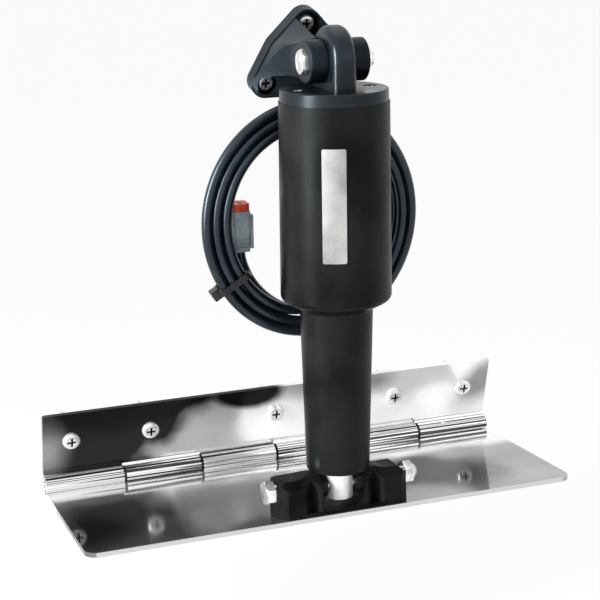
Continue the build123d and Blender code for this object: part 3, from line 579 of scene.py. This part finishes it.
def leaf_with_painted_reflections(name, base, metallic, patches):
    """Polished sheet: painted reflections of dark and light in patches on the flat and in streaks
    on the knuckles, and painted shade where knuckles meet.
    """
    material = bpy.data.materials.new(name)
    material.use_nodes = True
    tree = material.node_tree
    shader = tree.nodes["Principled BSDF"]
    shader.inputs["Metallic"].default_value = metallic
    place = tree.nodes.new("ShaderNodeTexCoord").outputs["Object"]
    tones = use_group(
        tree,
        cloud_tones,
        {
            "Vector": place,
            "Dark": (base * 0.82, base * 0.82, base * 0.83, 1),
            "Light": (base * 1.1, base * 1.1, base * 1.1, 1),
            "Scale": 12.0,
        },
    )
    color = tones.outputs["Color"]
    for tone, centre, size, slant, softness in patches:
        patch = use_group(
            tree,
            painted_reflection_patch,
            {
                "Vector": place,
                "Base": color,
                "Patch": (tone, tone * 0.985, tone * 0.975, 1),
                "Centre": centre,
                "Size": size,
                "Slant": slant,
                "Softness": softness,
            },
        )
        color = patch.outputs["Color"]
    rolls = use_group(tree, painted_roll_reflections_and_shade, {"Vector": place})
    color = blend_of(tree, rolls.outputs["Mask"], color, rolls.outputs["Color"])
    feed(tree, shader.inputs["Base Color"], color)
    surface = use_group(
        tree,
        moulded_grain,
        {
            "Vector": place,
            "Grain Scale": 900.0,
            "Gloss Low": 0.05,
            "Gloss High": 0.13,
            "Wipe Scale": 25.0,
        },
    )
    feed(tree, shader.inputs["Roughness"], surface.outputs["Roughness"])
    return material


# each painted reflection patch: tone, centre, half size, slant and softness; the last one on the
# blade is a painted highlight along its edge
transom_reflection_patches = [
    (0.012, (-0.140, 0, 0.0), (0.093, 1, 0.1), -1.35, 0.3),
    (0.3, (-0.152, 0, -0.006), (0.022, 1, 0.03), 0.0, 1.0),
    (0.012, (-0.024, 0, 0.0175), (0.028, 1, 0.0145), 0.6, 0.4),
    (0.012, (-0.075, 0, 0.0185), (0.040, 1, 0.010), 0.0, 0.5),
    (0.45, (0.072, 0, 0.012), (0.022, 1, 0.012), 0.0, 0.9),
    (0.32, (0.152, 0, 0.004), (0.026, 1, 0.03), -0.8, 0.8),
]
blade_reflection_patches = [
    (0.06, (-0.140, -0.08, 0), (0.06, 0.05, 1), 0.0, 0.8),
    (0.22, (-0.105, -0.062, 0), (0.04, 0.03, 1), 0.0, 0.9),
    (0.02, (0.062, -0.062, 0), (0.056, 0.056, 1), 0.3, 0.6),
    (0.97, (0.0, -0.005, 0), (0.6, 0.040, 1), 0.0, 0.5),
    (0.66, (0.0, -0.1197, 0), (0.6, 0.0009, 1), 0.0, 0.5),
]
# the transom leaf and the blade carry painted reflections in their colour
dress(leaf_with_painted_reflections("transom_leaf_painted_reflections", 0.92, 0.66, transom_reflection_patches), "transom_plate")
dress(leaf_with_painted_reflections("blade_painted_reflections", 0.42, 0.9, blade_reflection_patches), "tab_blade")

# Screws
# Stainless pan heads with a cross recess, five through the transom leaf, three through the
# upper bracket, two in the cap and four countersunk ones that hold the lower bracket.
bright_screw = moulded(
    "bright_screw",
    (0.62, 0.62, 0.62),
    (0.93, 0.93, 0.92),
    (0.14, 0.3),
    scale=110,
    contrast=0.35,
    bump=0.05,
    metallic=0.65,
)
# painted shade in the screws' cross recesses: a mask over the arms of the cross, darker the deeper
# the surface lies below the head
cross_recess_shade, recess_in, recess_out = start_group(
    "cross_recess_shade",
    [
        ("Vector", "Vector", None),
        ("Centre", "Vector", (0, 0, 0)),
        ("Across", "Vector", (1, 0, 0)),
        ("Along", "Vector", (0, 0, 1)),
        ("Outwards", "Vector", (0, -1, 0)),
        ("Reach", "Float", 0.0027),
        ("Arm", "Float", 0.00065),
    ],
    [("Mask", "Float")],
)
from_centre = vector_of(
    cross_recess_shade, "SUBTRACT", recess_in.outputs["Vector"], recess_in.outputs["Centre"]
)
across_place, along_place, outwards_place = (
    vector_of(
        cross_recess_shade, "DOT_PRODUCT", from_centre.outputs[0], recess_in.outputs[direction]
    ).outputs["Value"]
    for direction in ("Across", "Along", "Outwards")
)
arm_u = sum_of(cross_recess_shade, "ABSOLUTE", across_place)
arm_v = sum_of(cross_recess_shade, "ABSOLUTE", along_place)
arm_near = sum_of(
    cross_recess_shade,
    "LESS_THAN",
    sum_of(cross_recess_shade, "MINIMUM", arm_u, arm_v),
    recess_in.outputs["Arm"],
)
arm_far = sum_of(
    cross_recess_shade,
    "LESS_THAN",
    sum_of(cross_recess_shade, "MAXIMUM", arm_u, arm_v),
    recess_in.outputs["Reach"],
)
sunk = add_node(
    cross_recess_shade,
    "ShaderNodeMapRange",
    {"Value": outwards_place, "From Min": -0.00012, "From Max": -0.0006},
)
recess_depth = 0.0024
not_below = sum_of(cross_recess_shade, "GREATER_THAN", outwards_place, -recess_depth)
feed(
    cross_recess_shade,
    recess_out.inputs["Mask"],
    sum_of(
        cross_recess_shade,
        "MULTIPLY",
        sum_of(cross_recess_shade, "MULTIPLY", arm_near, arm_far),
        sum_of(cross_recess_shade, "MULTIPLY", sunk.outputs["Result"], not_below),
    ),
)
rake = math.radians(16.5)
transom_up = Vector((0, -math.sin(rake), math.cos(rake)))
off_transom = Vector((0, -math.cos(rake), -math.sin(rake)))
upper_foot = Vector((0.003, 0, 0)) + transom_up * 0.2554
transom_head = 0.0059
bracket_head = 0.0088
cap_head_station = 233.35
recess_places = []
for x in (-0.1346, -0.0838, 0, 0.0838, 0.1346):
    centre = Vector((x, 0, 0)) + off_transom * transom_head
    recess_places.append((centre, transom_up, off_transom))
for x, height in ((0, 0.007), (-0.023, -0.0273), (0.023, -0.0273)):
    centre = upper_foot + Vector((x, 0, 0)) + transom_up * height + off_transom * bracket_head
    recess_places.append((centre, transom_up, off_transom))
for x in (-21.5, 21.5):
    recess_places.append((behind(x, cap_head_station, 0), actuator_back, actuator_up))
screw_tree = bright_screw.node_tree
screw_base = screw_tree.nodes["Principled BSDF"].inputs["Base Color"]
screw_tone = screw_base.links[0].from_socket
screw_place = screw_tree.nodes.new("ShaderNodeTexCoord").outputs["Object"]
recess_shade_mask = 0.0
for centre, along, outwards in recess_places:
    recess = use_group(
        screw_tree,
        cross_recess_shade,
        {"Vector": screw_place, "Centre": centre, "Along": along, "Outwards": outwards},
    )
    recess_shade_mask = sum_of(screw_tree, "MAXIMUM", recess_shade_mask, recess.outputs["Mask"])
# the near black of the painted recess shade
recess_shade_color = (0.012, 0.012, 0.013, 1)
feed(screw_tree, screw_base, blend_of(screw_tree, recess_shade_mask, screw_tone, recess_shade_color))
dress(
    bright_screw, "transom_screws", "cap_screws", "upper_bracket_screws", "lower_bracket_screws"
)

# Pivot bolts, nuts and hinge pin
# Bright turned stainless: hex heads with chamfered corners, lock nuts with a plain collar,
# and a few turns of thread that stand past each nut.
bright_bolt = moulded(
    "bright_bolt",
    (0.55, 0.55, 0.56),
    (0.96, 0.96, 0.96),
    (0.1, 0.24),
    scale=150,
    contrast=0.2,
    bump=0.05,
    metallic=0.8,
)
dress(bright_bolt, "lower_pivot_bolt", "lower_pivot_nut", "upper_pivot_bolt", "upper_pivot_nut")
dress(bright_bolt, "hinge_pin", "drive_screw", "thrust_bearing")


def start_row(name, inputs):
    """A Geometry Nodes tree with one geometry output and named inputs, and its two end nodes."""
    tree = bpy.data.node_groups.new(name, "GeometryNodeTree")
    tree.interface.new_socket(
        name="Geometry", in_out="OUTPUT", socket_type="NodeSocketGeometry"
    )
    for label, kind, value in inputs:
        socket = tree.interface.new_socket(
            name=label, in_out="INPUT", socket_type="NodeSocket" + kind
        )
        socket.default_value = value
    return tree, tree.nodes.new("NodeGroupInput"), tree.nodes.new("NodeGroupOutput")


def place_row(tree, given, instance, scale, axis):
    """Instances along one axis, realized and with the row's material."""
    along = add_node(tree, "ShaderNodeCombineXYZ", {axis: given.outputs["Pitch"]})
    run = add_node(
        tree,
        "GeometryNodeMeshLine",
        {"Count": given.outputs["Count"], "Offset": along.outputs[0]},
    )
    spread = add_node(
        tree,
        "GeometryNodeInstanceOnPoints",
        {"Points": run.outputs["Mesh"], "Instance": instance, "Scale": scale},
    )
    real = add_node(
        tree, "GeometryNodeRealizeInstances", {"Geometry": spread.outputs["Instances"]}
    )
    finish = add_node(
        tree,
        "GeometryNodeSetMaterial",
        {"Geometry": real.outputs["Geometry"], "Material": given.outputs["Finish"]},
    )
    return finish.outputs["Geometry"]


ring_row, ring_in, ring_out = start_row(
    "ring_row",
    [
        ("Count", "Int", 4),
        ("Pitch", "Float", 0.001),
        ("Radius", "Float", 0.004),
        ("Taper", "Float", 0.0),
        ("Thickness", "Float", 0.0004),
        ("Finish", "Material", None),
    ],
)
# a ring of radius 1, scaled to size at each place, so its section is given as a share of that
ring_path = add_node(
    ring_row, "GeometryNodeCurvePrimitiveCircle", {"Resolution": 40, "Radius": 1.0}
)
ring_share = sum_of(
    ring_row, "DIVIDE", ring_in.outputs["Thickness"], ring_in.outputs["Radius"]
)
ring_section = add_node(
    ring_row, "GeometryNodeCurvePrimitiveCircle", {"Resolution": 8, "Radius": ring_share}
)
ring_tube = add_node(
    ring_row,
    "GeometryNodeCurveToMesh",
    {"Curve": ring_path.outputs["Curve"], "Profile Curve": ring_section.outputs["Curve"]},
)
ring_size = sum_of(
    ring_row,
    "MULTIPLY_ADD",
    ring_row.nodes.new("GeometryNodeInputIndex").outputs[0],
    ring_in.outputs["Taper"],
    ring_in.outputs["Radius"],
)
ring_scale = add_node(ring_row, "ShaderNodeCombineXYZ", {axis: ring_size for axis in "XYZ"})
feed(
    ring_row,
    ring_out.inputs["Geometry"],
    place_row(ring_row, ring_in, ring_tube.outputs["Mesh"], ring_scale.outputs[0], "Z"),
)


def row_piece(name, tree, values, place, body, smooth=True):
    """One plain mesh from a row tree, moved to its place and riding on its body."""
    holder = bpy.data.objects.new(name + "_row", bpy.data.meshes.new(name + "_row"))
    bpy.context.collection.objects.link(holder)
    modifier = holder.modifiers.new("row", "NODES")
    modifier.node_group = tree
    for socket in tree.interface.items_tree:
        if socket.in_out == "INPUT":
            modifier[socket.identifier] = values[socket.name]
    built = holder.evaluated_get(bpy.context.evaluated_depsgraph_get())
    mesh = bpy.data.meshes.new_from_object(built)
    bpy.data.objects.remove(holder)
    mesh.transform(place)
    shell = bmesh.new()
    shell.from_mesh(mesh)
    bmesh.ops.remove_doubles(shell, verts=shell.verts, dist=1e-7)
    bmesh.ops.recalc_face_normals(shell, faces=shell.faces)
    shell.to_mesh(mesh)
    shell.free()
    mesh.polygons.foreach_set("use_smooth", [smooth] * len(mesh.polygons))
    mesh.name = name
    piece = bpy.data.objects.new(name, mesh)
    bpy.context.collection.objects.link(piece)
    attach(piece, body)


upper_pivot = Vector((0.003, -0.123067, 0.229915))
across_x = Matrix(((0, 0, 1, 0), (0, 1, 0, 0), (-1, 0, 0, 0), (0, 0, 0, 1)))
bolt_thread = {
    "Count": 3,
    "Pitch": 0.00045,
    "Radius": 0.00385,
    "Taper": 0.0,
    "Thickness": 0.0002,
    "Finish": bright_bolt,
}
for name, pivot, start, body in (
    ("lower_bolt_thread", lower_pivot, 0.04790, "tab"),
    ("upper_bolt_thread", upper_pivot, 0.02140, "upper_mount"),
):
    thread_place = Matrix.Translation(pivot + Vector((start, 0, 0))) @ across_x
    row_piece(name, ring_row, bolt_thread, thread_place, body)

# Lower bracket
# A matte black moulded fork on the blade, with a black acetal spacer each side of the ram's
# eye. Four screws from below the blade hold it.
bracket_black = moulded(
    "bracket_black",
    (0.002, 0.0019, 0.0018),
    (0.010, 0.0095, 0.009),
    (0.42, 0.6),
    scale=75,
    contrast=0.45,
    bump=0.4,
    specular=0.06,
)
bearing_black = moulded(
    "bearing_black",
    (0.008, 0.008, 0.008),
    (0.02, 0.02, 0.02),
    (0.3, 0.45),
    scale=80,
    bump=0.05,
    specular=0.15,
)
dress(bracket_black, "lower_bracket")
dress(bearing_black, "lower_pivot_spacers", "guide_bush")

# Ram
# A bright polished rod that runs in the tube, with a bronze bush in its eye and a bronze nut
# fixed in its upper end.
ram_bright = moulded(
    "ram_bright",
    (0.6, 0.6, 0.61),
    (0.92, 0.92, 0.92),
    (0.3, 0.42),
    scale=45,
    contrast=0.5,
    bump=0.04,
    metallic=0.45,
)
bronze = moulded(
    "bronze",
    (0.45, 0.33, 0.17),
    (0.6, 0.46, 0.27),
    (0.25, 0.4),
    scale=90,
    bump=0.05,
    metallic=1.0,
)
dress(ram_bright, "ram")
dress(bronze, "ram_eye_bush", "drive_nut", "upper_eye_bush")

# Actuator housing
# One black moulding of the motor barrel and the tapered tube, with a soft satin surface that
# is a little cloudy from handling. Its seals, motor and gearbox lie inside.
housing_black = moulded(
    "housing_black",
    (0.0014, 0.0015, 0.0015),
    (0.0095, 0.0098, 0.0098),
    (0.28, 0.46),
    scale=26,
    contrast=0.35,
    bump=0.4,
    specular=0.12,
    grain=1800.0,
    tint=(0.86, 0.95, 1.0),
)
seal_black = moulded(
    "seal_black",
    (0.008, 0.008, 0.008),
    (0.02, 0.02, 0.02),
    (0.45, 0.6),
    scale=90,
    bump=0.1,
)
motor_plated = moulded(
    "motor_plated",
    (0.3, 0.31, 0.33),
    (0.42, 0.43, 0.45),
    (0.28, 0.4),
    scale=60,
    bump=0.05,
    metallic=1.0,
)
gearbox_cast = moulded(
    "gearbox_cast",
    (0.46, 0.46, 0.47),
    (0.6, 0.6, 0.61),
    (0.4, 0.55),
    scale=120,
    bump=0.3,
    metallic=1.0,
)
dress(housing_black, "actuator_housing", "cable_gland")
dress(seal_black, "wiper_seal", "cap_seal", "motor_cushion")
dress(motor_plated, "motor")
dress(gearbox_cast, "gearbox", "screw_coupling")

# Name plate
# A thin foil plate bent to the barrel and glued on, left bare, in satin silver with soft
# lighter and darker clouds.
plate_silver = moulded(
    "plate_silver",
    (0.33, 0.33, 0.33),
    (0.7, 0.7, 0.69),
    (0.25, 0.42),
    scale=24,
    contrast=0.3,
    bump=0.04,
    metallic=0.9,
)
dress(plate_silver, "name_plate")

# Top cap
# A glossier blue-black moulding, screwed on the barrel by two screws, with a rounded eye lug
# for the upper pivot.
cap_gloss = moulded(
    "cap_gloss",
    (0.0025, 0.0036, 0.005),
    (0.008, 0.011, 0.0145),
    (0.24, 0.36),
    scale=40,
    bump=0.06,
    specular=0.32,
    tint=(0.75, 0.9, 1.0),
)
dress(cap_gloss, "top_cap")

# Upper bracket
# A satin blue-black moulding: a triangle on the transom with scooped sides and two ears,
# held by three screws.
bracket_blue = moulded(
    "bracket_blue",
    (0.003, 0.0045, 0.0065),
    (0.012, 0.018, 0.023),
    (0.28, 0.42),
    scale=34,
    contrast=0.4,
    bump=0.15,
    specular=0.15,
    tint=(0.7, 0.86, 1.0),
)
dress(bracket_blue, "upper_bracket")

# Cable gland
# The moulded exit on the barrel's back carries a tapered strain relief with rings round it,
# in the housing's own black.
relief_turn = Matrix((Vector((1, 0, 0)), actuator_back, actuator_up)).transposed().to_4x4()
row_piece(
    "relief_rings",
    ring_row,
    {
        "Count": 5,
        "Pitch": 0.0028,
        "Radius": 0.00425,
        "Taper": 0.00022,
        "Thickness": 0.0007,
        "Finish": housing_black,
    },
    Matrix.Translation(behind(gland_x, 145.2, gland_back)) @ relief_turn,
    "actuator",
)

# Cable tie
# A black moulded nylon strap pulled tight round the coil's strands, with its head on the outer
# side and fine teeth across it.
tie_black = moulded(
    "tie_black",
    (0.005, 0.005, 0.006),
    (0.013, 0.013, 0.014),
    (0.28, 0.4),
    scale=90,
    bump=0.1,
)
dress(tie_black, "cable_tie")
bar_row, bar_in, bar_out = start_row(
    "bar_row",
    [
        ("Count", "Int", 4),
        ("Pitch", "Float", 0.001),
        ("Length", "Float", 0.004),
        ("Width", "Float", 0.001),
        ("Height", "Float", 0.001),
        ("Finish", "Material", None),
    ],
)
bar_section = add_node(
    bar_row,
    "GeometryNodeCurvePrimitiveQuadrilateral",
    {"Width": bar_in.outputs["Width"], "Height": bar_in.outputs["Height"]},
)
bar_round = bar_row.nodes.new("GeometryNodeFilletCurve")
bar_round.mode = "POLY"
bar_corner = sum_of(bar_row, "MULTIPLY", bar_in.outputs["Height"], 0.4)
feed(bar_row, bar_round.inputs["Curve"], bar_section.outputs["Curve"])
feed(bar_row, bar_round.inputs["Count"], 2)
feed(bar_row, bar_round.inputs["Radius"], bar_corner)
bar_half = sum_of(bar_row, "MULTIPLY", bar_in.outputs["Length"], 0.5)
bar_start, bar_end = (
    add_node(
        bar_row, "ShaderNodeCombineXYZ", {"Y": sum_of(bar_row, "MULTIPLY", bar_half, sign)}
    ).outputs[0]
    for sign in (-1.0, 1.0)
)
bar_path = add_node(
    bar_row, "GeometryNodeCurvePrimitiveLine", {"Start": bar_start, "End": bar_end}
)
bar_solid = add_node(
    bar_row,
    "GeometryNodeCurveToMesh",
    {
        "Curve": bar_path.outputs["Curve"],
        "Profile Curve": bar_round.outputs["Curve"],
        "Fill Caps": True,
    },
)
feed(
    bar_row,
    bar_out.inputs["Geometry"],
    place_row(bar_row, bar_in, bar_solid.outputs["Mesh"], (1, 1, 1), "X"),
)


def turned_place(origin, first, second):
    """A matrix with its X and Y along two directions, at a point."""
    x_axis = first.normalized()
    z_axis = x_axis.cross(second).normalized()
    y_axis = z_axis.cross(x_axis)
    return Matrix.Translation(origin) @ Matrix((x_axis, y_axis, z_axis)).transposed().to_4x4()


# the tie stands at the middle strand of the front layer, on the coil's lower left
tie_turn = math.radians(213.0)
tie_half_width = coil_half_width - cable_diameter
tie_half_height = coil_half_height - cable_diameter
tie_x = coil_middle_x + tie_half_width * math.cos(tie_turn)
tie_station = coil_middle_station + tie_half_height * math.sin(tie_turn)
tie_along = Vector((-tie_half_width * math.sin(tie_turn), 0, 0))
tie_along += actuator_up * (tie_half_height * math.cos(tie_turn))
tie_out = tie_along.normalized().cross(actuator_back)
tie_out = tie_out if tie_out.x < 0 else -tie_out
strap_front = 30.75
row_piece(
    "tie_teeth",
    bar_row,
    {
        "Count": 13,
        "Pitch": 0.0013,
        "Length": 0.0026,
        "Width": 0.0006,
        "Height": 0.0005,
        "Finish": tie_black,
    },
    turned_place(behind(tie_x, tie_station, strap_front) - tie_out * 0.0078, tie_out, tie_along),
    "actuator",
    smooth=False,
)

# Connector
# A two-way plug on the cable's end: a grey moulded body with grip ribs and a latch, and an
# orange red moulded wedge pushed in on top.
connector_grey = moulded(
    "connector_grey",
    (0.27, 0.33, 0.37),
    (0.37, 0.43, 0.47),
    (0.35, 0.5),
    scale=110,
    bump=0.15,
)
connector_orange = moulded(
    "connector_orange",
    (0.6, 0.035, 0.008),
    (0.8, 0.075, 0.02),
    (0.3, 0.45),
    scale=110,
    bump=0.12,
)
dress(connector_grey, "connector_body", "connector_latch")
dress(connector_orange, "connector_wedge")
for name, x, back, across, count, low, pitch in (
    ("connector_front_ribs", plug_x, 39.45, Vector((1, 0, 0)), 3, 138.0, 0.0022),
    ("connector_side_ribs", -47.75, plug_back, actuator_back, 4, 137.6, 0.002),
):
    row_piece(
        name,
        bar_row,
        {
            "Count": count,
            "Pitch": pitch,
            "Length": 0.0075,
            "Width": 0.0010,
            "Height": 0.0007,
            "Finish": connector_grey,
        },
        turned_place(behind(x, low, back), actuator_up, across),
        "actuator",
        smooth=False,
    )

# Floor and light
# A plain white floor that keeps a faint shadow, low enough for the blade to swing down above
# it and clear when seen from below, and soft lamps from the left, the right and above.
floor_height = -0.118
floor_half_side = 80.0
floor_mesh = bpy.data.meshes.new("floor")
floor_edit = bmesh.new()
bmesh.ops.create_grid(floor_edit, x_segments=1, y_segments=1, size=floor_half_side)
bmesh.ops.translate(floor_edit, verts=floor_edit.verts, vec=(0, 0, floor_height))
floor_edit.to_mesh(floor_mesh)
floor_edit.free()
floor = bpy.data.objects.new("floor", floor_mesh)
bpy.context.collection.objects.link(floor)


def seen_directly(tree):
    """1 on camera, glossy and transmission rays, 0 on the others."""
    paths = tree.nodes.new("ShaderNodeLightPath")
    seen = sum_of(
        tree, "MAXIMUM", paths.outputs["Is Camera Ray"], paths.outputs["Is Glossy Ray"]
    )
    return sum_of(tree, "MAXIMUM", seen, paths.outputs["Is Transmission Ray"])


floor_look = bpy.data.materials.new("floor")
floor_look.use_nodes = True
floor_tree = floor_look.node_tree
floor_shader = floor_tree.nodes["Principled BSDF"]
floor_shader.inputs["Base Color"].default_value = (0.9, 0.9, 0.9, 1)
floor_shader.inputs["Roughness"].default_value = 0.9
floor_shader.inputs["Specular IOR Level"].default_value = 0.0
floor_white = add_node(
    floor_tree, "ShaderNodeEmission", {"Color": (1, 1, 1, 1), "Strength": 1.0}
)
floor_mix = add_node(
    floor_tree,
    "ShaderNodeMixShader",
    {
        0: sum_of(floor_tree, "MULTIPLY", seen_directly(floor_tree), 0.92),
        1: floor_shader.outputs["BSDF"],
        2: floor_white.outputs["Emission"],
    },
)
floor_one_way = add_node(
    floor_tree,
    "ShaderNodeMixShader",
    {
        0: floor_tree.nodes.new("ShaderNodeNewGeometry").outputs["Backfacing"],
        1: floor_mix.outputs[0],
        2: floor_tree.nodes.new("ShaderNodeBsdfTransparent").outputs[0],
    },
)
feed(
    floor_tree,
    floor_tree.nodes["Material Output"].inputs["Surface"],
    floor_one_way.outputs[0],
)
floor_mesh.materials.append(floor_look)

world = bpy.data.worlds.new("studio")
bpy.context.scene.world = world
world.use_nodes = True
sky = world.node_tree.nodes["Background"]
sky.inputs["Color"].default_value = (1, 1, 1, 1)
strength = add_node(
    world.node_tree,
    "ShaderNodeMapRange",
    {"Value": seen_directly(world.node_tree), "To Min": 0.5, "To Max": 1.0},
)
feed(world.node_tree, sky.inputs["Strength"], strength.outputs["Result"])

lit_point = Vector((0, -0.08, 0.1))
for name, place, power, width, height in (
    ("key", (-1.36, -0.46, 0.42), 44.0, 0.26, 0.86),
    ("fill", (0.9, -1.3, 0.6), 1.5, 0.8, 0.8),
    ("overhead", (0.0, 0.1, 1.4), 3.0, 1.0, 1.0),
):
    lamp_data = bpy.data.lights.new(name, "AREA")
    lamp_data.shape = "RECTANGLE"
    lamp_data.energy = power
    lamp_data.size = width
    lamp_data.size_y = height
    lamp = bpy.data.objects.new(name, lamp_data)
    lamp.location = place
    lamp.rotation_euler = (lit_point - Vector(place)).to_track_quat("-Z", "Y").to_euler()
    bpy.context.collection.objects.link(lamp)

bpy.context.scene.view_settings.view_transform = "Standard"
